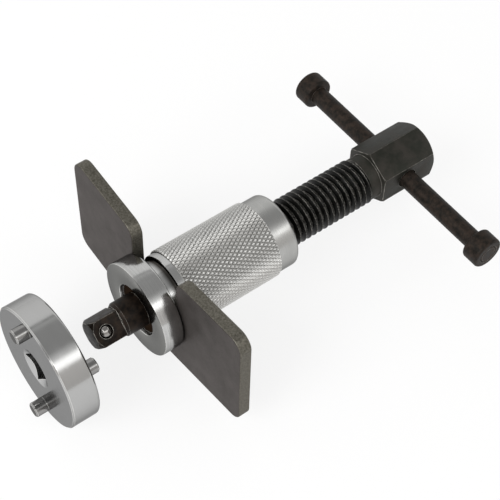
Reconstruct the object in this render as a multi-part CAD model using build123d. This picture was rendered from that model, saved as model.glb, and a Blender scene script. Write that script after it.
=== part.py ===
from build123d import *
import math
import os

# Brake caliper piston tool: a threaded spindle with a square drive and a sliding T-bar
# runs through a knurled sleeve, and a slotted reaction plate hangs in the sleeve's groove.
# Millimetres. +X runs along the spindle towards the square drive, +Y along the plate's wings
# and the T-bar, +Z towards the open mouth of the plate's slot. The origin is on the spindle's
# axis, in the shoulder where a socket seats on the square drive.

# Square drive and shank
drive_square = 9.525
drive_length = 10.4
drive_corner_radius = 6.65
drive_tip_radius = 5.0
drive_flat_angle = 44.0
shank_radius = 6.35
shank_end_chamfer = 0.8
shank_end_taper = 1.1
shank_reach = 7.6

# Sleeve: flange, groove, knurled grip and rear collar, from front to rear
flange_radius = 17.75
flange_thickness = 7.8
flange_edge = 0.5
groove_radius = 12.3
nose_radius = 13.9
nose_length = 2.7
grip_radius = 14.6
grip_length = 35.7
grip_edge = 0.5
collar_radius = 13.85
collar_length = 8.6
collar_edge_radius = 1.8
mouth_chamfer = 0.5

# Spindle thread, drawn as ring grooves at its pitch, and the hex head
thread_radius = 9.0
thread_pitch = 2.5
thread_depth = 1.4
thread_crest = 0.3
thread_root = 0.5
thread_clearance = 0.05
thread_end_chamfer = 0.6
screw_room = 41.7
neck_radius = 8.5
neck_length = 4.5
hex_flats = 19.5
hex_length = 24.0
hex_edge_chamfer = 1.3
hex_face_radius = 9.65

# Stop ring on the shank and its pocket in the flange
ring_over_bore = 0.45
ring_thickness = 1.6
ring_gap = 3.0
ring_groove_radius = 5.8
ring_running_clearance = 0.05
ring_side_clearance = 0.1
pocket_depth = 3.0
pocket_clearance = 0.25

# Reaction plate
plate_thickness = 4.5
plate_side_clearance = 0.2
plate_half_width = 47.6
plate_top_at_mouth = 23.4
plate_top_at_tip = 28.3
plate_bottom_at_tip = 16.4
plate_bottom_at_keel = 24.2
plate_corner_radius = 5.0
plate_mouth_radius = 5.0
plate_keel_radius = 8.0
plate_edge_radius = 0.5
slot_clearance = 0.2

# T-bar and its two caps
bar_radius = 3.5
bar_clearance = 0.4
bar_length = 101.6
bar_slid_right = 2.1
bar_end_chamfer = 0.5
bar_from_hex_middle = 0.9
cap_radius = 6.1
cap_length = 7.0
cap_edge_radius = 1.0
cap_bore_chamfer = 0.3

# Detent ball and its spring
ball_radius = 2.38
ball_from_tip = 4.2
ball_stands_out = 0.9
ball_hole_clearance = 0.05
spring_wire_radius = 0.25
spring_radius = 1.6
spring_turns = 4
spring_length = 3.0
spring_room = 1.0

# Piston adaptor
adaptor_gap = 10.8
adaptor_radius = 22.7
adaptor_thickness = 10.5
adaptor_front_edge = 0.5
adaptor_back_edge = 1.2
adaptor_hole_clearance = 0.11
adaptor_countersink_radius = 7.2
adaptor_countersink_angle = 120.0
ball_groove_clearance = 0.2
ball_groove_length = 8.6

# Adaptor pins: each is pressed in by a thinner spigot, front pair near the rim
pin_radius = 2.7
pin_spigot_radius = 2.2
pin_seat = 5.0
pin_end_chamfer = 0.4
front_pin_from_rim = 3.7
front_pin_reach = 4.6
front_pin_angle = 97.0
rear_pin_circle = 21.8
rear_pin_reach = 5.8
rear_pin_angle = 7.0

# Places along the axis, worked out from the sizes above
groove_width = plate_thickness + 2 * plate_side_clearance
flange_front = -shank_reach
flange_back = flange_front - flange_thickness
groove_rear = flange_back - groove_width
nose_rear = groove_rear - nose_length
grip_rear = nose_rear - grip_length
sleeve_rear = grip_rear - collar_length
pocket_floor = flange_front - pocket_depth
ring_front = pocket_floor + ring_thickness
thread_front = pocket_floor - ring_side_clearance
ring_groove_front = ring_front + ring_side_clearance
hex_front = sleeve_rear - screw_room
hex_rear = hex_front - hex_length
thread_rear = hex_front + neck_length
bar_x = (hex_front + hex_rear) / 2 + bar_from_hex_middle
plate_front = flange_back - plate_side_clearance
adaptor_back = drive_length + adaptor_gap
adaptor_front = adaptor_back + adaptor_thickness
ball_x = drive_length - ball_from_tip
ball_from_axis = drive_square / 2 + ball_stands_out - ball_radius

# Radii and widths that follow from the fits
bore_radius = thread_radius + thread_clearance
ring_outer_radius = bore_radius + ring_over_bore
pocket_radius = ring_outer_radius + pocket_clearance
ring_inner_radius = ring_groove_radius + ring_running_clearance
slot_radius = groove_radius + slot_clearance
bar_hole_radius = bar_radius + bar_clearance
ball_hole_radius = ball_radius + ball_hole_clearance
ball_groove_radius = ball_radius + ball_groove_clearance
adaptor_square = drive_square + 2 * adaptor_hole_clearance
front_pin_circle = 2 * (adaptor_radius - front_pin_from_rim)
hex_corner_radius = hex_flats / 2 / math.cos(math.pi / 6)
spring_end = ball_from_axis - ball_radius
ball_hole_floor = spring_end - spring_length - spring_room

# The thread's grooves: flanks of equal width between a root and a crest, in whole pitches
thread_flank = (thread_pitch - thread_crest - thread_root) / 2
groove_start = thread_rear + thread_end_chamfer + thread_crest
groove_room = thread_front - thread_end_chamfer - groove_start
groove_count = int(groove_room / thread_pitch)

# Matching tolerance for picking edges and corners
tiny = 0.01


def turned(outline):
    """Turn a closed outline of (x, radius) points about the X axis."""
    profile = make_face(Polyline(*outline, close=True))
    return revolve(profile, Axis.X, 360)


def prism(corner_radius, sides, first_corner_angle, x_start, length):
    """Extrude a regular polygon along +X, with its first corner at an angle from +Y."""
    corners = []
    for index in range(sides):
        angle = math.radians(first_corner_angle + index * 360 / sides)
        corners.append((corner_radius * math.cos(angle), corner_radius * math.sin(angle)))
    outline = make_face(Polyline(*corners, close=True))
    return extrude(Plane(origin=(x_start, 0, 0), x_dir=(0, 1, 0), z_dir=(1, 0, 0)) * outline, length)


def radial_plane(x, angle, distance):
    """Plane whose normal points away from the axis at an angle from +Y."""
    outward = (0, math.cos(math.radians(angle)), math.sin(math.radians(angle)))
    origin = (x, distance * outward[1], distance * outward[2])
    return Plane(origin=origin, x_dir=(1, 0, 0), z_dir=outward)


def axial_plane(x, y=0, z=0, direction=1):
    """Plane square to the X axis, with its normal along +X or -X."""
    return Plane(origin=(x, y, z), x_dir=(0, 1, 0), z_dir=(direction, 0, 0))


def rims(part, x, radius):
    """Circular edges of one radius at one place along the X axis."""
    circles = part.edges().filter_by(GeomType.CIRCLE)
    return circles.filter_by(lambda edge: abs(edge.arc_center.X - x) < tiny and abs(edge.radius - radius) < tiny)


def make_sleeve():
    outline = [
        (flange_front, bore_radius),
        (flange_front, flange_radius),
        (flange_back, flange_radius),
        (flange_back, groove_radius),
        (groove_rear, groove_radius),
        (groove_rear, nose_radius),
        (nose_rear, nose_radius),
        (nose_rear, grip_radius - grip_edge),
        (nose_rear - grip_edge, grip_radius),
        (grip_rear + grip_edge, grip_radius),
        (grip_rear, grip_radius - grip_edge),
        (grip_rear, collar_radius),
        (sleeve_rear, collar_radius),
        (sleeve_rear, bore_radius),
    ]
    body = turned(outline)
    pocket = axial_plane(pocket_floor) * Cylinder(
        pocket_radius, pocket_depth + tiny, align=(Align.CENTER, Align.CENTER, Align.MIN)
    )
    body = body - pocket
    body = fillet(rims(body, sleeve_rear, collar_radius), collar_edge_radius)
    body = chamfer(rims(body, flange_front, flange_radius), flange_edge)
    body = chamfer(rims(body, flange_back, flange_radius), flange_edge)
    body = chamfer(rims(body, flange_front, pocket_radius), mouth_chamfer)
    return chamfer(rims(body, sleeve_rear, bore_radius), mouth_chamfer)


def make_hex_head():
    first_corner = 30
    head = prism(hex_corner_radius, 6, first_corner, hex_rear, hex_length)
    envelope = turned(
        [
            (hex_rear, 0),
            (hex_rear, hex_face_radius),
            (hex_rear + hex_edge_chamfer, hex_corner_radius),
            (hex_front, hex_corner_radius),
            (hex_front, 0),
        ]
    )
    return head & envelope


def make_drive():
    tip_cone = drive_corner_radius - drive_tip_radius
    square = prism(drive_square / math.sqrt(2), 4, drive_flat_angle + 45, 0, drive_length)
    envelope = turned(
        [
            (0, 0),
            (0, drive_corner_radius),
            (drive_length - tip_cone, drive_corner_radius),
            (drive_length, drive_tip_radius),
            (drive_length, 0),
        ]
    )
    return square & envelope


def thread_grooves():
    """Outline points of the thread's ring grooves, from the rear to the front."""
    root_radius = thread_radius - thread_depth
    points = []
    for index in range(groove_count):
        start = groove_start + index * thread_pitch
        points.append((start, thread_radius))
        points.append((start + thread_flank, root_radius))
        points.append((start + thread_flank + thread_root, root_radius))
        points.append((start + 2 * thread_flank + thread_root, thread_radius))
    return points


def make_spindle():
    stem = turned(
        [
            (hex_front, 0),
            (hex_front, neck_radius),
            (thread_rear, neck_radius),
            (thread_rear + thread_end_chamfer, thread_radius),
            *thread_grooves(),
            (thread_front - thread_end_chamfer, thread_radius),
            (thread_front, thread_radius - thread_end_chamfer),
            (thread_front, ring_groove_radius),
            (ring_groove_front, ring_groove_radius),
            (ring_groove_front, shank_radius),
            (-shank_end_taper, shank_radius),
            (0, shank_radius - shank_end_chamfer),
            (0, 0),
        ]
    )
    spindle = stem + make_hex_head() + make_drive()
    bar_hole = Plane(origin=(bar_x, 0, 0), z_dir=(0, 1, 0)) * Cylinder(bar_hole_radius, 2 * hex_flats)
    ball_hole = radial_plane(ball_x, drive_flat_angle, ball_hole_floor) * Cylinder(
        ball_hole_radius, drive_square, align=(Align.CENTER, Align.CENTER, Align.MIN)
    )
    return spindle - bar_hole - ball_hole


def make_stop_ring():
    ring = turned(
        [
            (pocket_floor, ring_inner_radius),
            (ring_front, ring_inner_radius),
            (ring_front, ring_outer_radius),
            (pocket_floor, ring_outer_radius),
        ]
    )
    split = Pos(pocket_floor, 0, -ring_outer_radius) * Box(
        3 * ring_thickness, ring_gap, ring_outer_radius, align=(Align.CENTER, Align.CENTER, Align.CENTER)
    )
    return ring - split


def plate_corners(sketch, y_from, y_to, upper):
    """Corners of the plate's outline between two distances from its middle line."""
    return sketch.vertices().filter_by(
        lambda corner: y_from < abs(corner.X) < y_to and (corner.Y > slot_radius) == upper
    )


def make_reaction_plate():
    outline = make_face(
        Polyline(
            (-slot_radius, plate_top_at_mouth),
            (-plate_half_width, plate_top_at_tip),
            (-plate_half_width, -plate_bottom_at_tip),
            (0, -plate_bottom_at_keel),
            (plate_half_width, -plate_bottom_at_tip),
            (plate_half_width, plate_top_at_tip),
            (slot_radius, plate_top_at_mouth),
            close=True,
        )
    )
    mouth = Rectangle(2 * slot_radius, 2 * plate_top_at_tip, align=(Align.CENTER, Align.MIN))
    shape = Sketch() + outline - mouth - Circle(slot_radius)
    tip_band = (plate_half_width - tiny, plate_half_width + tiny)
    shape = fillet(plate_corners(shape, tip_band[0], tip_band[1], True), plate_corner_radius)
    shape = fillet(plate_corners(shape, tip_band[0], tip_band[1], False), plate_corner_radius)
    shape = fillet(plate_corners(shape, slot_radius - tiny, slot_radius + tiny, True), plate_mouth_radius)
    keel = shape.vertices().filter_by(lambda corner: abs(corner.X) < tiny and corner.Y < -slot_radius - tiny)
    shape = fillet(keel, plate_keel_radius)
    plate = extrude(axial_plane(plate_front) * shape, -plate_thickness)
    outlines = plate.edges().filter_by(lambda edge: abs(edge.tangent_at(0.5).X) < tiny)
    return fillet(outlines, plate_edge_radius)


def make_tommy_bar():
    bar = Plane(origin=(bar_x, bar_slid_right, 0), z_dir=(0, 1, 0)) * Cylinder(bar_radius, bar_length)
    return chamfer(bar.edges().filter_by(GeomType.CIRCLE), bar_end_chamfer)


def make_bar_cap(side):
    """Ring cap pressed on one end of the bar, flush with the bar's end face."""
    middle = bar_slid_right + side * (bar_length - cap_length) / 2
    cap_middle = Plane(origin=(bar_x, middle, 0), z_dir=(0, side, 0))
    cap_end = Plane(origin=(bar_x, middle + side * cap_length / 2, 0), z_dir=(0, side, 0))
    cap = cap_middle * Cylinder(cap_radius, cap_length)
    cap = fillet(cap.edges().filter_by(GeomType.CIRCLE), cap_edge_radius)
    bore_rim = cap_end * Cone(
        bar_radius,
        bar_radius + cap_bore_chamfer,
        cap_bore_chamfer,
        align=(Align.CENTER, Align.CENTER, Align.MAX),
    )
    return cap - cap_middle * Cylinder(bar_radius, 2 * cap_length) - bore_rim


def make_detent_ball():
    return radial_plane(ball_x, drive_flat_angle, ball_from_axis) * Sphere(ball_radius)


def make_detent_spring():
    coil_height = spring_length - 2 * spring_wire_radius
    coil = Helix(pitch=coil_height / spring_turns, height=coil_height, radius=spring_radius)
    wire = Plane(origin=coil @ 0, z_dir=coil % 0) * Circle(spring_wire_radius)
    spring = sweep(wire, path=coil, is_frenet=True)
    return radial_plane(ball_x, drive_flat_angle, spring_end - spring_length + spring_wire_radius) * spring


def pin_places(circle, angle):
    """The two centres of a pin pair, opposite each other on a circle."""
    places = []
    for turn in (0, 180):
        places.append(
            (
                circle / 2 * math.cos(math.radians(angle + turn)),
                circle / 2 * math.sin(math.radians(angle + turn)),
            )
        )
    return places


def make_pin(place, face_x, direction, reach):
    """Pin that stands on one face of the disc, with its spigot in the disc."""
    pin = axial_plane(face_x, place[0], place[1], direction) * Cylinder(
        pin_radius, reach, align=(Align.CENTER, Align.CENTER, Align.MIN)
    )
    pin = chamfer(rims(pin, face_x + direction * reach, pin_radius), pin_end_chamfer)
    spigot = axial_plane(face_x, place[0], place[1], -direction) * Cylinder(
        pin_spigot_radius, pin_seat, align=(Align.CENTER, Align.CENTER, Align.MIN)
    )
    return pin + spigot


def make_adaptor_disc():
    disc = axial_plane(adaptor_back) * Cylinder(
        adaptor_radius, adaptor_thickness, align=(Align.CENTER, Align.CENTER, Align.MIN)
    )
    disc = chamfer(rims(disc, adaptor_front, adaptor_radius), adaptor_front_edge)
    disc = fillet(rims(disc, adaptor_back, adaptor_radius), adaptor_back_edge)
    square = prism(
        adaptor_square / math.sqrt(2), 4, drive_flat_angle + 45, adaptor_back, adaptor_thickness
    )
    countersink_depth = adaptor_countersink_radius / math.tan(math.radians(adaptor_countersink_angle / 2))
    countersink = turned(
        [
            (adaptor_front, 0),
            (adaptor_front, adaptor_countersink_radius),
            (adaptor_front - countersink_depth, 0),
        ]
    )
    ball_groove = radial_plane(adaptor_back, drive_flat_angle, ball_from_axis) * Cylinder(
        ball_groove_radius,
        ball_groove_length,
        rotation=(0, 90, 0),
        align=(Align.CENTER, Align.CENTER, Align.MIN),
    )
    disc = disc - square - countersink - ball_groove
    for place in pin_places(front_pin_circle, front_pin_angle):
        disc = disc - axial_plane(adaptor_front - pin_seat, place[0], place[1]) * Cylinder(
            pin_spigot_radius, pin_seat, align=(Align.CENTER, Align.CENTER, Align.MIN)
        )
    for place in pin_places(rear_pin_circle, rear_pin_angle):
        disc = disc - axial_plane(adaptor_back, place[0], place[1]) * Cylinder(
            pin_spigot_radius, pin_seat, align=(Align.CENTER, Align.CENTER, Align.MIN)
        )
    return disc


front_places = pin_places(front_pin_circle, front_pin_angle)
rear_places = pin_places(rear_pin_circle, rear_pin_angle)
pieces = {
    "sleeve": make_sleeve(),
    "reaction_plate": make_reaction_plate(),
    "spindle": make_spindle(),
    "stop_ring": make_stop_ring(),
    "detent_ball": make_detent_ball(),
    "detent_spring": make_detent_spring(),
    "tommy_bar": make_tommy_bar(),
    "bar_cap_right": make_bar_cap(1),
    "bar_cap_left": make_bar_cap(-1),
    "adaptor_disc": make_adaptor_disc(),
    "front_pin_upper": make_pin(front_places[0], adaptor_front, 1, front_pin_reach),
    "front_pin_lower": make_pin(front_places[1], adaptor_front, 1, front_pin_reach),
    "rear_pin_right": make_pin(rear_places[0], adaptor_back, -1, rear_pin_reach),
    "rear_pin_left": make_pin(rear_places[1], adaptor_back, -1, rear_pin_reach),
}

os.makedirs("parts", exist_ok=True)
for name, piece in pieces.items():
    piece.label = name
    export_step(piece, f"parts/{name}.step")
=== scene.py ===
# %% [markdown]
# # A brake caliper piston tool
# The tool is a black threaded spindle in a bright knurled sleeve, with a sliding T-bar, a slotted
# steel plate and a polished pin adaptor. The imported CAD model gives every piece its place. Here we
# load it as a fixed frame, model the thread, the knurl and the crisp machined edges that the plain
# solids leave out, give each metal its own finish, and light it all like a product photograph.

# %% The frame
import math

import bmesh
import bpy
from mathutils import Matrix, Vector


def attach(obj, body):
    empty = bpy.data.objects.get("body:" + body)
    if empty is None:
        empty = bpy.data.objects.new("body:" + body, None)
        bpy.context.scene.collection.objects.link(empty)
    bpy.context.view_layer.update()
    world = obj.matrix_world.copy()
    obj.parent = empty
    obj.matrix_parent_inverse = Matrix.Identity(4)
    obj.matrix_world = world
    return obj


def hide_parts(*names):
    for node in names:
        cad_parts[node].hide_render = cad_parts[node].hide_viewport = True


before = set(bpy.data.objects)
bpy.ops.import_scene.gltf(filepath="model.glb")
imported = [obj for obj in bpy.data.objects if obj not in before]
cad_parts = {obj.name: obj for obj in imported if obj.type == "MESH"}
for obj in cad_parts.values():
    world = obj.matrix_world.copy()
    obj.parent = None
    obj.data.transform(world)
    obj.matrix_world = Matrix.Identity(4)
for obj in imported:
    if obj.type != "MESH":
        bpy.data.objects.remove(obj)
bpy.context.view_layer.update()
print("nodes:", sorted(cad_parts))

# %% [markdown]
# Blender works in metres and the tool is drawn in millimetres, so one value turns the one into the
# other. The spindle's axis is the X axis. It points at the square drive, and zero is the drive's
# shoulder. Y runs along the T-bar and Z towards the open end of the plate's slot.

# %% Units and tolerance
MM = 0.001
NEAR = 0.02 * MM
print("points closer than", NEAR, "m count as one")


# %% [markdown]
# Every piece is worked on in the same way: nothing else is selected, it is the active object, and
# edit mode is entered. A finished piece keeps its place in its mesh, so that the object itself sits
# at the origin like the CAD pieces. The small helpers below do that, so that the modelling steps
# read like the steps made by hand.

# %% Helpers for editing
def select_only(piece):
    bpy.ops.object.select_all(action="DESELECT")
    piece.select_set(True)
    bpy.context.view_layer.objects.active = piece


def edit(piece):
    select_only(piece)
    bpy.ops.object.mode_set(mode="EDIT")


def leave_edit():
    bpy.ops.object.mode_set(mode="OBJECT")


def just_added(name):
    """Names the piece that was just added, and its mesh."""
    piece = bpy.context.object
    piece.name = name
    piece.data.name = name
    return piece


def apply_modifier(piece, kind, **settings):
    select_only(piece)
    modifier = piece.modifiers.new(kind.title(), kind)
    for name, value in settings.items():
        setattr(modifier, name, value)
    bpy.ops.object.modifier_apply(modifier=modifier.name)


def place_in_mesh(piece):
    select_only(piece)
    bpy.ops.object.transform_apply(location=True, rotation=True, scale=True)


def set_down(piece, angle=30):
    """Leaves a piece with its place in its mesh and with smooth shading up to an angle."""
    place_in_mesh(piece)
    bpy.ops.object.shade_smooth_by_angle(angle=math.radians(angle))
    print(piece.name, "faces:", len(piece.data.polygons))


# %% [markdown]
# Most of this tool was made on a lathe, and a lathe is also the natural way to model it: draw half
# of the section, then spin it about the axis. One vertex is extruded from point to point along the
# section, and the spin turns the line into a solid. Where the line ends on the axis the spun rings
# shrink to one point, and merging by distance closes it.

# %% Helpers for turned pieces
AROUND = 128


def drawn(name, line):
    """A new piece in edit mode that is one line of (x, radius) points in millimetres."""
    bpy.ops.object.select_all(action="DESELECT")
    bpy.ops.mesh.primitive_plane_add(size=MM)
    piece = just_added(name)
    edit(piece)
    bpy.ops.mesh.select_mode(type="VERT")
    bpy.ops.mesh.select_all(action="SELECT")
    bpy.ops.mesh.merge(type="CENTER")
    bpy.ops.transform.translate(value=(line[0][0] * MM, 0, line[0][1] * MM))
    for start, end in zip(line, line[1:]):
        step = ((end[0] - start[0]) * MM, 0, (end[1] - start[1]) * MM)
        bpy.ops.mesh.extrude_region_move(TRANSFORM_OT_translate={"value": step})
    return piece


def weld(distance):
    """Merges the vertices that lie together, in edit mode."""
    bpy.ops.mesh.select_all(action="SELECT")
    bpy.ops.mesh.remove_doubles(threshold=distance)


def face_outwards():
    bpy.ops.mesh.select_all(action="SELECT")
    bpy.ops.mesh.normals_make_consistent(inside=False)


def turned(name, section, around=AROUND):
    """Spins a section, a list of (x, radius) in millimetres, about the X axis."""
    piece = drawn(name, section)
    bpy.ops.mesh.select_all(action="SELECT")
    bpy.ops.mesh.spin(steps=around, angle=2 * math.pi, center=(0, 0, 0), axis=(1, 0, 0))
    weld(NEAR / 4)
    face_outwards()
    leave_edit()
    return piece


# %% [markdown]
# A sharp rim never shines, and every real one has a small bevel. With a mouse we would click the
# rim. A script picks its edges by where they lie: at one place along the axis and at one radius.

# %% Helpers for rims
def radius_of(point):
    return math.hypot(point.y, point.z)


def pick_edges(piece, wanted):
    """Selects the edges whose two ends both pass the test, in edit mode."""
    bpy.ops.mesh.select_mode(type="EDGE")
    bpy.ops.mesh.select_all(action="DESELECT")
    mesh = bmesh.from_edit_mesh(piece.data)
    for edge in mesh.edges:
        if wanted(edge.verts[0].co) and wanted(edge.verts[1].co):
            edge.select_set(True)
    mesh.select_flush_mode()
    bmesh.update_edit_mesh(piece.data)


def round_rims(piece, rims):
    """Bevels rims of a turned piece, each given by its place, radius, width and segments."""
    for x, radius, width, segments in rims:
        edit(piece)
        pick_edges(
            piece,
            lambda point: abs(point.x - x * MM) < NEAR
            and abs(radius_of(point) - radius * MM) < NEAR,
        )
        bpy.ops.mesh.bevel(offset=width * MM, segments=segments, affect="EDGES")
        leave_edit()


# %% [markdown]
# ## The sleeve
# The sleeve is turned from bright zinc-plated steel. Its front end is a flange, a groove that the
# plate hangs in and a narrow nose collar. The grip is knurled, and the rear collar is smooth. The
# three stretches have different finishes, so each is a closed ring of its own and they meet where
# the real surface has a step. The flange also has the pocket for the stop ring.

# %% Sleeve: flange, groove and nose
SLEEVE_AROUND = 160
BORE = 9.05
FLANGE_FRONT = -7.6
FLANGE_BACK = -15.4
FLANGE = 17.75
GROOVE = 12.3
NOSE = 13.9
NOSE_FRONT = -20.3
GRIP_FRONT = -23.0
POCKET = 9.75
POCKET_FLOOR = -10.6

sleeve_front = turned(
    "sleeve_front",
    [
        (POCKET_FLOOR, BORE),
        (POCKET_FLOOR, POCKET),
        (FLANGE_FRONT, POCKET),
        (FLANGE_FRONT, FLANGE),
        (FLANGE_BACK, FLANGE),
        (FLANGE_BACK, GROOVE),
        (NOSE_FRONT, GROOVE),
        (NOSE_FRONT, NOSE),
        (GRIP_FRONT, NOSE),
        (GRIP_FRONT, BORE),
        (POCKET_FLOOR, BORE),
    ],
    SLEEVE_AROUND,
)
round_rims(
    sleeve_front,
    [
        (FLANGE_FRONT, FLANGE, 0.45, 2),
        (FLANGE_BACK, FLANGE, 1.1, 4),
        (FLANGE_FRONT, POCKET, 0.4, 2),
        (NOSE_FRONT, NOSE, 0.3, 2),
        (FLANGE_BACK, GROOVE, 0.2, 2),
        (NOSE_FRONT, GROOVE, 0.2, 2),
    ],
)
set_down(sleeve_front)

# %% Sleeve: rear collar
GRIP_BACK = -58.7
COLLAR = 13.85
SLEEVE_BACK = -67.3

sleeve_collar = turned(
    "sleeve_collar",
    [
        (GRIP_BACK, BORE),
        (GRIP_BACK, COLLAR),
        (SLEEVE_BACK, COLLAR),
        (SLEEVE_BACK, BORE),
        (GRIP_BACK, BORE),
    ],
    SLEEVE_AROUND,
)
round_rims(sleeve_collar, [(SLEEVE_BACK, COLLAR, 1.8, 6), (SLEEVE_BACK, BORE, 0.5, 2)])
set_down(sleeve_collar)

# %% [markdown]
# ## The diamond knurl
# A knurl is rolled in: two wheels press crossing grooves at 30 degrees to the axis, and what stays
# between them are diamonds with worn, flat tops. On this grip 58 diamonds go round, and each is
# 2.6 mm long. The grooves are deep enough to break the outline, so a bump would not do. The
# outline of a diamond is raised, shrunk to the size of its flat top, and stays open below. A second
# one is moved half a step both ways, and two Array modifiers lay the pair out as a flat sheet. The
# sheet is cut straight at both ends, wrapped round the axis, and closed with an inner wall.

# %% Knurl: one pair of diamonds
GRIP = 14.6
KNURL_AROUND = 58
KNURL_LENGTH = 2.6
KNURL_DEPTH = 0.42
KNURL_TOP = 0.3  # the flat top's share of the diamond's size

diamond_width = 2 * math.pi * GRIP / KNURL_AROUND

bpy.ops.object.select_all(action="DESELECT")
bpy.ops.mesh.primitive_circle_add(vertices=4, radius=MM, fill_type="NOTHING")
knurl = just_added("sleeve_knurl")
edit(knurl)
bpy.ops.mesh.select_mode(type="EDGE")
bpy.ops.mesh.select_all(action="SELECT")
bpy.ops.transform.resize(value=(KNURL_LENGTH / 2, diamond_width / 2, 1))
bpy.ops.mesh.extrude_region_move(TRANSFORM_OT_translate={"value": (0, 0, KNURL_DEPTH * MM)})
bpy.ops.transform.resize(value=(KNURL_TOP, KNURL_TOP, 1))
bpy.ops.mesh.edge_face_add()
bpy.ops.mesh.select_all(action="SELECT")
half_step = (KNURL_LENGTH / 2 * MM, diamond_width / 2 * MM, 0)
bpy.ops.mesh.duplicate_move(TRANSFORM_OT_translate={"value": half_step})
leave_edit()
print("diamond:", KNURL_LENGTH, "by", round(diamond_width, 3), "mm")

# %% Knurl: the flat sheet
grip_length = GRIP_FRONT - GRIP_BACK
rows = math.ceil(grip_length / KNURL_LENGTH) + 1

for copies, step in (
    (rows, (KNURL_LENGTH * MM, 0, 0)),
    (KNURL_AROUND, (0, diamond_width * MM, 0)),
):
    apply_modifier(
        knurl,
        "ARRAY",
        count=copies,
        use_relative_offset=False,
        use_constant_offset=True,
        constant_offset_displace=step,
    )
edit(knurl)
weld(NEAR)
leave_edit()
print("sheet:", rows, "rows of", KNURL_AROUND, "pairs")


# %% Knurl: straight ends, and cut lines for the chamfers
def cut_across(place, **settings):
    """Cuts a piece in edit mode at one place along X, in millimetres."""
    bpy.ops.mesh.select_all(action="SELECT")
    bpy.ops.mesh.bisect(
        plane_co=(place * MM, 0, 0), plane_no=(1, 0, 0), threshold=NEAR / 10, **settings
    )


GRIP_CHAMFER = 0.2

edit(knurl)
cut_across(0, clear_inner=True)
cut_across(grip_length, clear_outer=True)
cut_across(GRIP_CHAMFER)
cut_across(grip_length - GRIP_CHAMFER)
leave_edit()
print("sheet length:", round(grip_length, 2), "mm")


# %% Knurl: wrapped round the sleeve
def scale_out(vertex, factor):
    """Moves a vertex straight away from the X axis or towards it."""
    vertex.co = (vertex.co.x, vertex.co.y * factor, vertex.co.z * factor)


INNER_WALL = BORE + 0.5

for vertex in knurl.data.vertices:
    along, across, height = vertex.co / MM
    angle = across / GRIP
    from_end = min(along, grip_length - along)
    radius = min(GRIP - KNURL_DEPTH + height, GRIP - GRIP_CHAMFER + from_end)
    wrapped = Vector((GRIP_BACK + along, radius * math.cos(angle), radius * math.sin(angle)))
    vertex.co = wrapped * MM

edit(knurl)
weld(NEAR)
bpy.ops.mesh.select_all(action="DESELECT")
bpy.ops.mesh.select_mode(type="EDGE")
bpy.ops.mesh.select_non_manifold(extend=False)
bpy.ops.mesh.extrude_region_move()
leave_edit()
for vertex in knurl.data.vertices:
    if vertex.select:
        scale_out(vertex, INNER_WALL * MM / radius_of(vertex.co))
edit(knurl)
bpy.ops.mesh.bridge_edge_loops()
face_outwards()
leave_edit()
set_down(knurl, angle=20)

# %% [markdown]
# ## The spindle's thread
# The thread is M18 with a pitch of 2.5 mm, rolled and then blackened. A Screw modifier makes it
# from the section of one groove: each turn moves on by the length of the section, so the turns join
# up. Near the neck the grooves run out, and at the front end the crests are chamfered, as a die
# leaves them. Both are done by holding each vertex between a lowest and a highest radius.

# %% Thread section
PITCH = 2.5
CREST = 8.98
ROOT = 7.5
ROUNDING = 0.1
THREAD_BACK = -104.5
THREAD_FRONT = -10.7

half_groove = [
    (0, ROOT),
    (0.18, ROOT),
    (0.3, ROOT + ROUNDING),
    (1.02, CREST - ROUNDING),
    (1.14, CREST),
]
groove = half_groove + [(PITCH - along, high) for along, high in reversed(half_groove)]
thread = drawn("spindle_thread", [(THREAD_BACK - PITCH + along, high) for along, high in groove])
leave_edit()
print("thread section points:", len(groove))

# %% Thread: screwed along the spindle
THREAD_AROUND = 64

turns = math.ceil((THREAD_FRONT - THREAD_BACK) / PITCH) + 1
apply_modifier(
    thread,
    "SCREW",
    axis="X",
    angle=2 * math.pi,
    screw_offset=PITCH * MM,
    iterations=turns,
    steps=THREAD_AROUND,
    render_steps=THREAD_AROUND,
    use_merge_vertices=True,
    merge_threshold=NEAR,
)
edit(thread)
weld(NEAR)
cut_across(THREAD_BACK, clear_inner=True, use_fill=True)
cut_across(THREAD_FRONT, clear_outer=True, use_fill=True)
face_outwards()
leave_edit()
print("thread turns:", turns)

# %% Thread: run-out and chamfer
NECK = 8.5
RUN_OUT = 2.6
CREST_AT_NECK = NECK + 0.1
CREST_AT_FRONT = ROOT + 0.4

for vertex in thread.data.vertices:
    radius = radius_of(vertex.co) / MM
    from_back = vertex.co.x / MM - THREAD_BACK
    from_front = THREAD_FRONT - vertex.co.x / MM
    lowest = ROOT + (NECK - ROOT) * max(0, 1 - from_back / RUN_OUT)
    highest = min(CREST, CREST_AT_NECK + from_back, CREST_AT_FRONT + from_front)
    scale_out(vertex, min(max(radius, lowest), highest) / radius)
set_down(thread, angle=35)


# %% [markdown]
# ## The hex head and its neck
# The head is a piece of hexagon bar. Its rear corners are turned off to a cone, so the flats end in
# the curved lines that every bolt head shows. We get them in the same way: a six-sided prism is
# intersected with a turned blank. Then the neck is joined on and the hole for the T-bar drilled.

# %% Helpers for milled and drilled pieces
def combine(piece, tool, how):
    """Joins, cuts or intersects a piece with another closed piece, which is then removed."""
    apply_modifier(piece, "BOOLEAN", operation=how, object=tool, solver="EXACT")
    bpy.data.objects.remove(tool)


def drill(piece, radius, depth, middle, turn, around):
    """Cuts a round hole, with its radius and depth in millimetres and its middle in metres."""
    bpy.ops.object.select_all(action="DESELECT")
    bpy.ops.mesh.primitive_cylinder_add(
        vertices=around, radius=radius * MM, depth=depth * MM, location=middle, rotation=turn
    )
    combine(piece, bpy.context.object, "DIFFERENCE")


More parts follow.
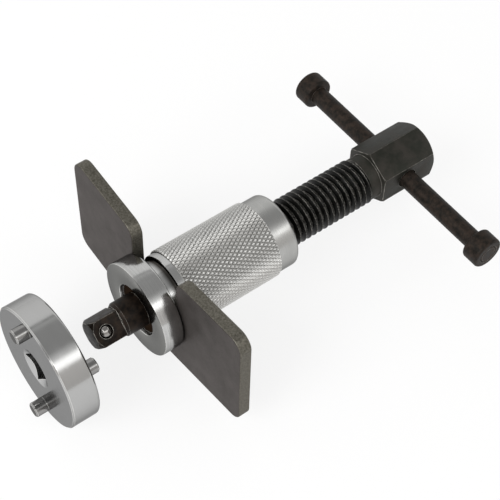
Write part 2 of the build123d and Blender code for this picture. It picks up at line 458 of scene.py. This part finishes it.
def soften_edges(piece, width):
    """Bevels all sharp edges of a piece by a width in millimetres."""
    apply_modifier(
        piece,
        "BEVEL",
        width=width * MM,
        segments=2,
        limit_method="ANGLE",
        angle_limit=math.radians(25),
    )


# %% Hex head: the prism
HEX_FLATS = 19.5
HEX_FRONT = -109.0
HEX_BACK = -133.0

hex_corner = HEX_FLATS / 2 / math.cos(math.radians(30))
quarter_turn = math.radians(90)
bpy.ops.object.select_all(action="DESELECT")
bpy.ops.mesh.primitive_cylinder_add(
    vertices=6,
    radius=hex_corner * MM,
    depth=(HEX_FRONT - HEX_BACK) * MM,
    location=((HEX_FRONT + HEX_BACK) / 2 * MM, 0, 0),
    rotation=(0, quarter_turn, 0),
)
head = just_added("spindle_head")
place_in_mesh(head)
edit(head)
bpy.ops.mesh.select_all(action="SELECT")
bpy.ops.transform.rotate(value=math.radians(30), orient_axis="X", center_override=(0, 0, 0))
leave_edit()
print("head corner radius:", round(hex_corner, 2), "mm")

# %% Hex head: turned corners, neck and hole
HEX_FACE = 9.65
HEX_CHAMFER = 1.3
HEX_FRONT_CHAMFER = 0.5
HEX_FRONT_DROP = 0.55
BLANK_ROOM = 0.05
NECK_BACK = HEX_FRONT - 3
OVERLAP = 0.2
BAR_X = -120.1
BAR_HOLE = 3.9

head_blank = turned(
    "head_blank",
    [
        (HEX_BACK, 0),
        (HEX_BACK, HEX_FACE),
        (HEX_BACK + HEX_CHAMFER, hex_corner + BLANK_ROOM),
        (HEX_FRONT - HEX_FRONT_CHAMFER, hex_corner + BLANK_ROOM),
        (HEX_FRONT, hex_corner - HEX_FRONT_DROP),
        (HEX_FRONT, 0),
    ],
)
combine(head, head_blank, "INTERSECT")
neck = turned(
    "neck",
    [
        (NECK_BACK, 0),
        (NECK_BACK, NECK),
        (THREAD_BACK + OVERLAP, NECK),
        (THREAD_BACK + OVERLAP, 0),
    ],
)
combine(head, neck, "UNION")
drill(head, BAR_HOLE, 2 * HEX_FLATS, (BAR_X * MM, 0, 0), (quarter_turn, 0, 0), around=64)
soften_edges(head, width=0.22)
set_down(head)

# %% [markdown]
# ## The shank and the square drive
# The front end carries the square that the adaptor is pushed on. It is milled from round stock, so
# its corners are still round and its tip is turned to a cone. A square prism intersected with a
# turned blank gives both. One flat is drilled for the sprung ball, which the CAD model already has.

# %% Square drive: the square
SQUARE = 9.525
DRIVE_END = 10.4
DRIVE_CORNER = 6.65
DRIVE_TIP = 5.0
DRIVE_FLAT_ANGLE = math.radians(44)
BLANK_BACK = -1

bpy.ops.object.select_all(action="DESELECT")
bpy.ops.mesh.primitive_cube_add(size=MM, location=(DRIVE_END / 2 * MM, 0, 0))
drive = just_added("spindle_drive")
drive.scale = (DRIVE_END, SQUARE, SQUARE)
drive.rotation_euler = (DRIVE_FLAT_ANGLE, 0, 0)
place_in_mesh(drive)
tip_cone = DRIVE_CORNER - DRIVE_TIP
drive_blank = turned(
    "drive_blank",
    [
        (BLANK_BACK, 0),
        (BLANK_BACK, DRIVE_CORNER),
        (DRIVE_END - tip_cone, DRIVE_CORNER),
        (DRIVE_END, DRIVE_TIP),
        (DRIVE_END, 0),
    ],
)
combine(drive, drive_blank, "INTERSECT")
print("square:", SQUARE, "mm across,", DRIVE_END, "mm long")

# %% Square drive: shank and hole for the ball
SHANK = 6.35
SHANK_TAPER = 1.1
SHANK_CHAMFER = 0.8
RING_GROOVE = 5.8
RING_GROOVE_FRONT = -8.9
BALL_X = 6.2
BALL_HOLE = 2.43
BALL_HOLE_FLOOR = -3.0975

shank = turned(
    "shank",
    [
        (THREAD_FRONT - OVERLAP, 0),
        (THREAD_FRONT - OVERLAP, RING_GROOVE),
        (RING_GROOVE_FRONT, RING_GROOVE),
        (RING_GROOVE_FRONT, SHANK),
        (-SHANK_TAPER, SHANK),
        (0, SHANK - SHANK_CHAMFER),
        (0, 0),
    ],
)
combine(drive, shank, "UNION")
outward = Vector((0, math.cos(DRIVE_FLAT_ANGLE), math.sin(DRIVE_FLAT_ANGLE)))
hole_middle = Vector((BALL_X, 0, 0)) + outward * (BALL_HOLE_FLOOR + SQUARE / 2)
hole_turn = outward.to_track_quat("Z", "X").to_euler()
drill(drive, BALL_HOLE, SQUARE, hole_middle * MM, hole_turn, around=48)
soften_edges(drive, width=0.1)
set_down(drive)

# %% [markdown]
# ## Riding on the frame
# Each new piece moves with the body whose CAD solid it stands for, and takes that solid's place.

# %% Bodies and slots
sleeve_pieces = (sleeve_front, knurl, sleeve_collar)
spindle_pieces = (head, thread, drive)

for piece in sleeve_pieces:
    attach(piece, "sleeve")
    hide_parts("sleeve")
for piece in spindle_pieces:
    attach(piece, "spindle")
    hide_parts("spindle")
print("riding:", [piece.name for piece in sleeve_pieces + spindle_pieces])


# %% [markdown]
# ## Finishes
# All materials are built from nodes. Colours are written as the hex values that a colour picker
# shows, and one function turns them into the linear values that the renderer works with. Another
# adds a node together with its settings and its links. A Mix node has a set of sockets for each
# kind of data, so those for colour are named by place: inputs 6 and 7, and output 2.

# %% Helpers for finishes
def linear(code):
    channels = []
    for start in (1, 3, 5):
        value = int(code[start : start + 2], 16) / 255
        channels.append(value / 12.92 if value <= 0.04045 else ((value + 0.055) / 1.055) ** 2.4)
    return (*channels, 1.0)


def add_node(tree, kind, links=None, **settings):
    """Adds a node with its settings, and with a link or a fixed value on each input named."""
    node = tree.nodes.new(kind)
    for name, value in settings.items():
        setattr(node, name, value)
    for socket, source in (links or {}).items():
        if isinstance(source, bpy.types.NodeSocket):
            tree.links.new(source, node.inputs[socket])
        else:
            node.inputs[socket].default_value = source
    return node


def new_finish(name):
    """An empty material with its tree, its shader and the place on the object in metres."""
    material = bpy.data.materials.new(name)
    material.use_nodes = True
    tree = material.node_tree
    shader = tree.nodes["Principled BSDF"]
    place = add_node(tree, "ShaderNodeTexCoord").outputs["Object"]
    return material, tree, shader, place


def per_mm(size):
    """Noise scale for a pattern whose grains are this many millimetres across."""
    return 1 / (size * MM)


def set_stops(ramp, stops):
    """Gives a colour ramp its stops, a list of positions and linear colours."""
    while len(ramp.elements) < len(stops):
        ramp.elements.new(0.5)
    for element, (position, colour) in zip(ramp.elements, stops):
        element.position = position
        element.color = colour


# %% [markdown]
# Black oxide is a thin layer of magnetite grown on the steel in hot salts, then oiled. It is nearly
# black with brown and green clouds a few millimetres across, and it dulls the steel's gloss. Sharp
# edges get knocked in the box, so the layer is worn thin along them and shows a pale line there.
# The Bevel node finds the edges: its softened normal differs from the true one only close to an
# edge. The layer has no mirror shine at a glancing angle, so the shader's specular tint is grey.

# %% Worn edges
def near_edges(tree, width):
    """A value that rises to one within this many millimetres of an edge."""
    soft_normal = add_node(tree, "ShaderNodeBevel", {"Radius": width * MM}, samples=8)
    true_normal = add_node(tree, "ShaderNodeNewGeometry").outputs["Normal"]
    flatness = add_node(
        tree,
        "ShaderNodeVectorMath",
        {0: soft_normal.outputs["Normal"], 1: true_normal},
        operation="DOT_PRODUCT",
    )
    edge = add_node(
        tree,
        "ShaderNodeMapRange",
        {"Value": flatness.outputs["Value"], "From Min": 0.995, "From Max": 0.94},
    )
    return edge.outputs["Result"]


def knocked_edges(tree, place, width, wear):
    """A value for how far the edges are worn, uneven along them, up to a highest wear."""
    knocks = add_node(
        tree, "ShaderNodeTexNoise", {"Vector": place, "Scale": per_mm(1.6), "Detail": 5.0}
    )
    knocked = add_node(
        tree,
        "ShaderNodeMapRange",
        {
            "Value": knocks.outputs["Fac"],
            "From Min": 0.38,
            "From Max": 0.58,
            "To Min": 0.3 * wear,
            "To Max": wear,
        },
    )
    worn = add_node(
        tree,
        "ShaderNodeMath",
        {0: near_edges(tree, width), 1: knocked.outputs["Result"]},
        operation="MULTIPLY",
        use_clamp=True,
    )
    return worn.outputs[0]


# %% Black oxide steel
def black_oxide(name, dark, tint, roughness, cloud_size, edge_wear, edge_width=0.35):
    material, tree, shader, place = new_finish(name)
    clouds = add_node(
        tree,
        "ShaderNodeTexNoise",
        {"Vector": place, "Scale": per_mm(cloud_size), "Detail": 6.0, "Roughness": 0.65},
    )
    stain = add_node(tree, "ShaderNodeValToRGB", {"Fac": clouds.outputs["Fac"]})
    set_stops(stain.color_ramp, [(0.38, linear(dark)), (0.64, linear(tint))])
    worn = knocked_edges(tree, place, edge_width, edge_wear)
    colour = add_node(
        tree,
        "ShaderNodeMix",
        {0: worn, 6: stain.outputs["Color"], 7: linear("#c4c0b8")},
        data_type="RGBA",
    )
    gloss = add_node(
        tree,
        "ShaderNodeMapRange",
        {
            "Value": clouds.outputs["Fac"],
            "From Min": 0.3,
            "From Max": 0.7,
            "To Min": roughness - 0.1,
            "To Max": roughness + 0.1,
        },
    )
    grain = add_node(
        tree, "ShaderNodeTexNoise", {"Vector": place, "Scale": per_mm(0.6), "Detail": 4.0}
    )
    bump = add_node(
        tree,
        "ShaderNodeBump",
        {"Height": grain.outputs["Fac"], "Strength": 0.45, "Distance": 0.05 * MM},
    )
    tree.links.new(colour.outputs[2], shader.inputs["Base Color"])
    tree.links.new(gloss.outputs["Result"], shader.inputs["Roughness"])
    tree.links.new(bump.outputs["Normal"], shader.inputs["Normal"])
    shader.inputs["Specular Tint"].default_value = linear("#969696")
    shader.inputs["Metallic"].default_value = 0.35
    return material


# %% Black finishes of the pieces
# hexagon bar, machined and blackened: a dull green-grey black with pale knocked edges
head_finish = black_oxide(
    "black_oxide_head", "#282924", "#373430", roughness=0.46, cloud_size=5.0, edge_wear=0.7
)
# rolled thread, blackened and oiled: the darkest and glossiest, with a fine pale line on each crest
thread_finish = black_oxide(
    "oiled_black_thread",
    "#060605",
    "#0c0c0a",
    roughness=0.26,
    cloud_size=4.0,
    edge_wear=0.9,
    edge_width=0.14,
)
# milled and turned end, blackened: brown where hands and sockets have rubbed it
drive_finish = black_oxide(
    "black_oxide_drive", "#13100e", "#2e251e", roughness=0.42, cloud_size=2.6, edge_wear=0.9
)
# drawn bar with pressed-on caps, blackened: the dullest and brownest
bar_finish = black_oxide(
    "black_oxide_bar", "#1a1815", "#362d27", roughness=0.5, cloud_size=2.2, edge_wear=0.4
)
print("black finishes:", head_finish.name, thread_finish.name, drive_finish.name, bar_finish.name)


# %% [markdown]
# Bright zinc plate copies the surface below it, and below it are the fine grooves that the lathe
# tool left. They run round the axis: on a cylinder they follow each other along X, and on a flat
# end they are rings. A noise that reads only the place along X and the distance from the axis draws
# both. The real feed marks are about 0.1 mm apart, too fine to show, so here they are 0.22 to
# 0.5 mm. A second, cloudy noise is the haze that handling leaves on the plating. The end faces were
# cut with a coarser feed than the rims were polished, so they come out in another tone, and that
# tone also holds a painted reflection: darker on the collar's, flange's and pins' end faces, lighter
# on the adaptor's. Edges are rubbed bright, and a painted highlight is laid along them in the
# colour as well. Haze takes the glancing shine away, so the specular tint is grey here too.

# %% Directions on a turned piece
def axis_distance(tree, parts):
    """The distance from the X axis, from a place that is separated into its parts."""
    across = add_node(
        tree, "ShaderNodeCombineXYZ", {"Y": parts.outputs["Y"], "Z": parts.outputs["Z"]}
    )
    distance = add_node(
        tree, "ShaderNodeVectorMath", {0: across.outputs["Vector"]}, operation="LENGTH"
    )
    return distance.outputs["Value"]


def facing_along(tree):
    """How far the surface faces along the X axis, either way: one on a flat end."""
    true_normal = add_node(tree, "ShaderNodeNewGeometry").outputs["Normal"]
    normal = add_node(tree, "ShaderNodeSeparateXYZ", {"Vector": true_normal})
    facing = add_node(tree, "ShaderNodeMath", {0: normal.outputs["X"]}, operation="ABSOLUTE")
    return facing.outputs[0]


# %% Bright turned metal: its tone
def turned_tone(tree, uneven, rim, face):
    """The colour of rims and end faces, with haze, a painted reflection on the end faces and a
    painted highlight on rubbed edges.
    """
    # painted reflection: faces that look along X get a tone of their own, partly a real duller
    # finish
    end_face = add_node(
        tree,
        "ShaderNodeMapRange",
        {"Value": facing_along(tree), "From Min": 0.76, "From Max": 0.86},
    )
    hazed = add_node(
        tree,
        "ShaderNodeMapRange",
        {"Value": uneven, "From Min": 0.8, "From Max": 1.2, "To Max": 0.25},
    )
    dullness_and_painted_reflection = add_node(
        tree,
        "ShaderNodeMath",
        {0: end_face.outputs["Result"], 1: hazed.outputs["Result"]},
        operation="ADD",
        use_clamp=True,
    )
    tone = add_node(
        tree,
        "ShaderNodeMix",
        {0: dullness_and_painted_reflection.outputs[0], 6: linear(rim), 7: linear(face)},
        data_type="RGBA",
    )
    # painted highlight along the edges, partly real rubbed plating
    rubbed_and_highlit = add_node(
        tree, "ShaderNodeMath", {0: near_edges(tree, 0.4), 1: uneven}, operation="MULTIPLY"
    )
    shown = add_node(
        tree,
        "ShaderNodeMix",
        {0: rubbed_and_highlit.outputs[0], 6: tone.outputs[2], 7: linear("#ecebe8")},
        data_type="RGBA",
    )
    return shown.outputs[2]


# %% Bright turned metal
def turned_metal(name, rim, face, roughness, spread, mark_size, mark_depth):
    material, tree, shader, place = new_finish(name)
    parts = add_node(tree, "ShaderNodeSeparateXYZ", {"Vector": place})
    section = add_node(
        tree, "ShaderNodeCombineXYZ", {"X": parts.outputs["X"], "Y": axis_distance(tree, parts)}
    )
    marks = add_node(
        tree,
        "ShaderNodeTexNoise",
        {"Vector": section.outputs["Vector"], "Scale": per_mm(mark_size), "Detail": 4.0},
        noise_dimensions="2D",
    )
    haze = add_node(
        tree, "ShaderNodeTexNoise", {"Vector": place, "Scale": per_mm(5.0), "Detail": 5.0}
    )
    uneven = add_node(
        tree, "ShaderNodeMath", {0: marks.outputs["Fac"], 1: haze.outputs["Fac"]}, operation="ADD"
    )
    gloss = add_node(
        tree,
        "ShaderNodeMapRange",
        {
            "Value": uneven.outputs[0],
            "From Min": 0.7,
            "From Max": 1.3,
            "To Min": roughness - spread,
            "To Max": roughness + spread,
        },
    )
    bump = add_node(
        tree,
        "ShaderNodeBump",
        {"Height": marks.outputs["Fac"], "Strength": 0.6, "Distance": mark_depth * MM},
    )
    tone = turned_tone(tree, uneven.outputs[0], rim, face)
    tree.links.new(tone, shader.inputs["Base Color"])
    tree.links.new(gloss.outputs["Result"], shader.inputs["Roughness"])
    tree.links.new(bump.outputs["Normal"], shader.inputs["Normal"])
    shader.inputs["Specular Tint"].default_value = linear("#a6a6a6")
    shader.inputs["Metallic"].default_value = 1.0
    return material


# %% Bright finishes of the sleeve
# turned, zinc plated and handled: a soft sheen with faint rings
collar_finish = turned_metal(
    "zinc_turned_satin",
    rim="#b4b4b2",
    face="#929290",
    roughness=0.3,
    spread=0.06,
    mark_size=0.3,
    mark_depth=0.016,
)
# rolled with knurling wheels, then zinc plated: many small tops that each catch a little light
knurl_finish = turned_metal(
    "zinc_knurled",
    rim="#c0c0be",
    face="#c0c0be",
    roughness=0.42,
    spread=0.05,
    mark_size=0.5,
    mark_depth=0.004,
)
# turned with a fine feed, polished and zinc plated: clear reflections, drawn out by fine rings
flange_finish = turned_metal(
    "zinc_polished_flange",
    rim="#c0c0bf",
    face="#989896",
    roughness=0.17,
    spread=0.06,
    mark_size=0.22,
    mark_depth=0.014,
)
print("sleeve finishes:", collar_finish.name, knurl_finish.name, flange_finish.name)

# %% Bright finishes of the adaptor and its pins
# turned, buffed and nickel plated: nearly a mirror, with sharp bands of light round the rim
adaptor_finish = turned_metal(
    "nickel_polished_adaptor",
    rim="#b2b2b1",
    face="#bababa",
    roughness=0.15,
    spread=0.05,
    mark_size=0.25,
    mark_depth=0.011,
)
# ground and hardened dowels: narrow dark and bright stripes along them
pin_finish = turned_metal(
    "steel_dowel_pin",
    rim="#969594",
    face="#7c7b79",
    roughness=0.2,
    spread=0.04,
    mark_size=0.3,
    mark_depth=0.006,
)
print("adaptor finishes:", adaptor_finish.name, pin_finish.name)

# %% Finishes of the ball, its spring and the stop ring
# lapped bearing ball: one small clear highlight
ball_finish = turned_metal(
    "steel_bearing_ball",
    rim="#9b9895",
    face="#9b9895",
    roughness=0.2,
    spread=0.01,
    mark_size=0.3,
    mark_depth=0.0005,
)
# drawn spring wire: smooth and grey
wire_finish = turned_metal(
    "spring_wire",
    rim="#8f8d8a",
    face="#8f8d8a",
    roughness=0.3,
    spread=0.04,
    mark_size=0.3,
    mark_depth=0.002,
)
# split ring of spring steel, phosphated dark brown: hardly a highlight
ring_finish = turned_metal(
    "phosphated_spring_steel",
    rim="#3a3029",
    face="#3a3029",
    roughness=0.4,
    spread=0.05,
    mark_size=0.3,
    mark_depth=0.004,
)
print("small finishes:", ball_finish.name, wire_finish.name, ring_finish.name)


# %% [markdown]
# The deep places get a darker tone. On the floor of the groove that the plate hangs in, and on the
# nose's front wall, it is painted shade. Between the knurl's diamonds it is painted shade together
# with grease and brake dust, which stay where no cloth reaches. Both places lie behind the flange
# and closer to the axis than what is rubbed clean, so the darkening is mixed in by the distance
# from the axis.

# %% Painted shade and grime in the deep places
RECESS_DARKENING_FRONT = FLANGE_BACK - 2.3
RECESS_DARKENING_FULL = FLANGE_BACK - 4.0


def add_recess_shade_and_grime(material, darkening_start_radius, darkest_radius, colour, amount):
    """Darkens what lies behind the flange and deeper than one radius, in millimetres: painted shade
    and grime.
    """
    tree = material.node_tree
    shader = tree.nodes["Principled BSDF"]
    plain_tone = shader.inputs["Base Color"].links[0].from_socket
    place = add_node(tree, "ShaderNodeTexCoord").outputs["Object"]
    parts = add_node(tree, "ShaderNodeSeparateXYZ", {"Vector": place})
    deep = add_node(
        tree,
        "ShaderNodeMapRange",
        {
            "Value": axis_distance(tree, parts),
            "From Min": darkening_start_radius * MM,
            "From Max": darkest_radius * MM,
            "To Max": amount,
        },
    )
    behind = add_node(
        tree,
        "ShaderNodeMapRange",
        {
            "Value": parts.outputs["X"],
            "From Min": RECESS_DARKENING_FRONT * MM,
            "From Max": RECESS_DARKENING_FULL * MM,
        },
    )
    # how much painted shade, and grime, each place gets
    recess_darkening = add_node(
        tree,
        "ShaderNodeMath",
        {0: deep.outputs["Result"], 1: behind.outputs["Result"]},
        operation="MULTIPLY",
    )
    darkened_tone = add_node(
        tree,
        "ShaderNodeMix",
        {0: recess_darkening.outputs[0], 6: plain_tone, 7: linear(colour)},
        data_type="RGBA",
    )
    tree.links.new(darkened_tone.outputs[2], shader.inputs["Base Color"])
    print("grime on", material.name, "below", darkening_start_radius, "mm")


# painted shade on the groove floor and the nose's front wall
add_recess_shade_and_grime(flange_finish, darkening_start_radius=13.7, darkest_radius=12.9, colour="#29241e", amount=0.92)
# painted shade between the knurl's diamonds, mixed with grease and dust
add_recess_shade_and_grime(knurl_finish, darkening_start_radius=14.5, darkest_radius=14.25, colour="#605f5c", amount=0.42)

# %% [markdown]
# The reaction plate was stamped from hot-rolled strip and tumbled with stones. Tumbling leaves a
# dull grey-brown skin with fine pits on the broad faces. The sheared edges are coarser: pale
# greenish-grey flecks on a dark ground, and the rounded corners between face and edge are rubbed.

# %% Tumbled plate steel: the tones of face and edge
plate_finish, tree, shader, place = new_finish("tumbled_plate_steel")
tints = []
for grain_size, detail, dark, pale, start, end in (
    (7.0, 8.0, "#3f3b38", "#514c4a", 0.33, 0.68),
    (0.7, 5.0, "#504d45", "#716e65", 0.38, 0.64),
):
    grains = add_node(
        tree,
        "ShaderNodeTexNoise",
        {"Vector": place, "Scale": per_mm(grain_size), "Detail": detail, "Roughness": 0.7},
    )
    tint = add_node(tree, "ShaderNodeValToRGB", {"Fac": grains.outputs["Fac"]})
    set_stops(tint.color_ramp, [(start, linear(dark)), (end, linear(pale))])
    tints.append(tint.outputs["Color"])
face_tint, edge_tint = tints
print("plate tones:", len(tints))

# %% Tumbled plate steel
edge = add_node(
    tree,
    "ShaderNodeMapRange",
    {"Value": facing_along(tree), "From Min": 0.97, "From Max": 0.6},
)
colour = add_node(
    tree,
    "ShaderNodeMix",
    {0: edge.outputs["Result"], 6: face_tint, 7: edge_tint},
    data_type="RGBA",
)
pits = add_node(
    tree, "ShaderNodeTexNoise", {"Vector": place, "Scale": per_mm(0.5), "Detail": 4.0}
)
bump = add_node(
    tree,
    "ShaderNodeBump",
    {"Height": pits.outputs["Fac"], "Strength": 0.6, "Distance": 0.06 * MM},
)
tree.links.new(colour.outputs[2], shader.inputs["Base Color"])
tree.links.new(bump.outputs["Normal"], shader.inputs["Normal"])
shader.inputs["Specular Tint"].default_value = linear("#d0cece")
shader.inputs["Metallic"].default_value = 0.7
shader.inputs["Roughness"].default_value = 0.46
print("plate nodes:", len(tree.nodes))

# %% [markdown]
# Each piece now gets its finish. The CAD pieces keep their meshes and change only their material,
# because they already have the right shape.

# %% Finishes on the pieces
finishes = {
    "spindle_head": head_finish,
    "spindle_thread": thread_finish,
    "spindle_drive": drive_finish,
    "sleeve_front": flange_finish,
    "sleeve_knurl": knurl_finish,
    "sleeve_collar": collar_finish,
    "reaction_plate": plate_finish,
    "stop_ring": ring_finish,
    "detent_ball": ball_finish,
    "detent_spring": wire_finish,
    "tommy_bar": bar_finish,
    "bar_cap_right": bar_finish,
    "bar_cap_left": bar_finish,
    "adaptor_disc": adaptor_finish,
    "front_pin_upper": pin_finish,
    "front_pin_lower": pin_finish,
    "rear_pin_right": pin_finish,
    "rear_pin_left": pin_finish,
}
for name, finish in finishes.items():
    piece = bpy.data.objects[name]
    piece.data.materials.clear()
    piece.data.materials.append(finish)
print("pieces with a finish:", len(finishes))

# %% [markdown]
# ## Floor, light and camera
# The tool lies on the plate's lower edge on a light table. The table is pale and lit from below, so
# that the ground comes out white and takes hardly any shadow.

# %% Floor
FLOOR_Z = -24.4
FLOOR_SIZE = 4

bpy.ops.object.select_all(action="DESELECT")
bpy.ops.mesh.primitive_plane_add(size=FLOOR_SIZE, location=(0, 0, FLOOR_Z * MM))
floor = just_added("floor")
floor_finish, _, shader, _ = new_finish("pale_floor")
shader.inputs["Base Color"].default_value = linear("#757575")
shader.inputs["Roughness"].default_value = 0.95
shader.inputs["Emission Color"].default_value = linear("#ffffff")
shader.inputs["Emission Strength"].default_value = 0.8
floor.data.materials.append(floor_finish)
print("floor at", FLOOR_Z, "mm")

# %% [markdown]
# The studio is a light tent: bright panels with darker gaps between them, which polished metal
# needs to show its form. The tent's light depends only on the direction round the X axis, so one
# colour ramp holds all panels. Zero degrees is straight up, and 90 degrees is towards +Y.

# %% Light: the tent
PANEL_LIGHT = 2.4
NEUTRAL = (1.0, 1.0, 0.995)
WARM = (1.0, 0.975, 0.95)
panel_edges = [
    (-100, 0.95, NEUTRAL),
    (-36, 0.95, NEUTRAL),
    (-33, 0.3, NEUTRAL),
    (-28, 0.62, NEUTRAL),
    (-20, 0.42, NEUTRAL),
    (22, 0.4, NEUTRAL),
    (36, 1.0, NEUTRAL),
    (42, 2.4, NEUTRAL),
    (50, 2.4, NEUTRAL),
    (56, 0.8, WARM),
    (100, 0.66, WARM),
]

world = bpy.data.worlds.new("light_tent")
bpy.context.scene.world = world
world.use_nodes = True
tree = world.node_tree
generated = add_node(tree, "ShaderNodeTexCoord").outputs["Generated"]
direction = add_node(tree, "ShaderNodeSeparateXYZ", {0: generated})
around_tool = add_node(
    tree,
    "ShaderNodeMath",
    {0: direction.outputs["Y"], 1: direction.outputs["Z"]},
    operation="ARCTAN2",
)
turn_fraction = add_node(
    tree,
    "ShaderNodeMapRange",
    {"Value": around_tool.outputs[0], "From Min": -math.pi, "From Max": math.pi},
)
panels = add_node(tree, "ShaderNodeValToRGB", {"Fac": turn_fraction.outputs["Result"]})
set_stops(
    panels.color_ramp,
    [
        ((degrees + 180) / 360, (*(brightness / PANEL_LIGHT * part for part in tone), 1.0))
        for degrees, brightness, tone in panel_edges
    ],
)
background = tree.nodes["Background"]
tree.links.new(panels.outputs["Color"], background.inputs["Color"])
background.inputs["Strength"].default_value = PANEL_LIGHT
print("tent panels:", len(panel_edges))

# %% [markdown]
# One soft lamp stands in front of the drive. It lights the faces that look along the X axis, which
# the tent leaves flat, and it is large, so its shadows have no hard edge.

# %% Light: the lamp
LAMP_PLACE = Vector((0.85, 0.15, 0.75))
LAMP_AIM = Vector((-0.05, 0, 0))

lamp_data = bpy.data.lights.new("lamp_front", "AREA")
lamp_data.shape = "RECTANGLE"
lamp_data.size = lamp_data.size_y = 0.6
lamp_data.energy = 7
lamp = bpy.data.objects.new("lamp_front", lamp_data)
bpy.context.scene.collection.objects.link(lamp)
lamp.location = LAMP_PLACE
lamp.rotation_mode = "QUATERNION"
lamp.rotation_quaternion = (LAMP_AIM - LAMP_PLACE).to_track_quat("-Z", "Y")
print("lamp:", lamp_data.energy, "W")

# %% [markdown]
# The camera stands where the photographer stood: above the tool, in front of the drive and on the
# side of +Y. Its place and its three directions were fitted to the tool's outline.

# %% Camera
CAMERA_PLACE = Vector((0.1303, 0.2329, 0.3838))
CAMERA_RIGHT = Vector((-0.79794, 0.60237, 0.02134))
CAMERA_UP = Vector((-0.46728, -0.64058, 0.60935))
CAMERA_BACKWARD = Vector((0.38072, 0.47625, 0.79261))

camera_data = bpy.data.cameras.new("camera")
camera_data.lens = 100.1
camera_data.sensor_width = 36
camera_data.clip_start = 0.01
camera_data.clip_end = 20
camera = bpy.data.objects.new("camera", camera_data)
bpy.context.scene.collection.objects.link(camera)
camera_turn = Matrix((CAMERA_RIGHT, CAMERA_UP, CAMERA_BACKWARD)).transposed()
camera.matrix_world = Matrix.Translation(CAMERA_PLACE) @ camera_turn.to_4x4()
bpy.context.scene.camera = camera
bpy.context.scene.view_settings.view_transform = "Standard"
print("lens:", round(camera_data.lens, 1), "mm")
